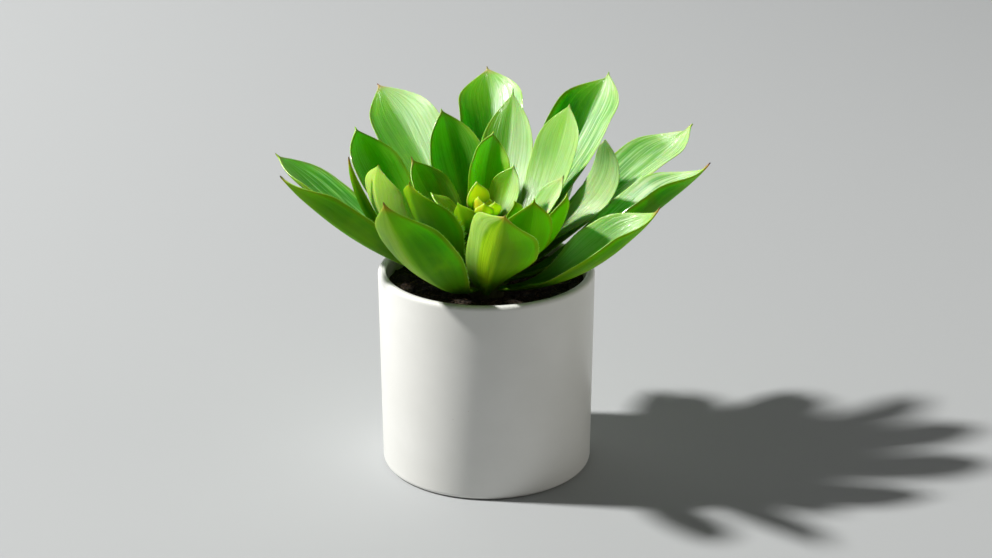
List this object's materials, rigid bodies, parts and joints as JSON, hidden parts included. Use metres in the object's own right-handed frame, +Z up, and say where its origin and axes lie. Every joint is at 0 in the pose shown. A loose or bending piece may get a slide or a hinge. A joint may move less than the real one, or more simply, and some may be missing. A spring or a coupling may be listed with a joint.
{
  "type": "potted succulent plant",
  "caption": "Succulent rosette of pointed fleshy leaves on a short stem, in dark soil, in a plain white cylindrical pot.",
  "frame": {"origin": "middle of the pot's flat underside, on the surface the pot stands on", "axes": "+Z up along the pot's axis, -Y towards the front of the plant, +X to the right seen from the front"},
  "size_m": [0.2398, 0.192, 0.2024],
  "materials": {
    "glaze": "smooth satin glaze, warm white",
    "earth": "matt, crumbly, nearly black potting soil",
    "flesh": "waxy green leaf with fine lengthwise veins and a pale margin",
    "young": "waxy yellow-green young leaf",
    "bark": "dull brown-green stem"
  },
  "bodies": {
    "root": {"pot": "glaze", "soil": "earth", "stem": "bark", "leaf_back_centre": "flesh", "leaf_back_centre_inner": "flesh", "leaf_back_left": "flesh", "leaf_back_left_inner": "flesh", "leaf_back_low_left": "flesh", "leaf_back_low_right": "flesh", "leaf_back_right": "flesh", "leaf_back_right_inner": "flesh", "leaf_centre_back": "flesh", "leaf_front_centre": "flesh", "leaf_front_left": "flesh", "leaf_front_left_inner": "flesh", "leaf_front_left_tiny": "flesh", "leaf_front_right": "flesh", "leaf_front_right_inner": "flesh", "leaf_front_right_tiny": "flesh", "leaf_left_edge": "flesh", "leaf_left_inner": "flesh", "leaf_left_lower": "flesh", "leaf_left_middle": "flesh", "leaf_left_small": "flesh", "leaf_left_tiny": "flesh", "leaf_left_upper": "flesh", "leaf_right_curved": "flesh", "leaf_right_inner": "flesh", "leaf_right_middle": "flesh", "leaf_right_small": "flesh", "leaf_right_upper": "flesh", "leaf_right_young": "flesh", "heart": "young"}
  },
  "joints": []
}
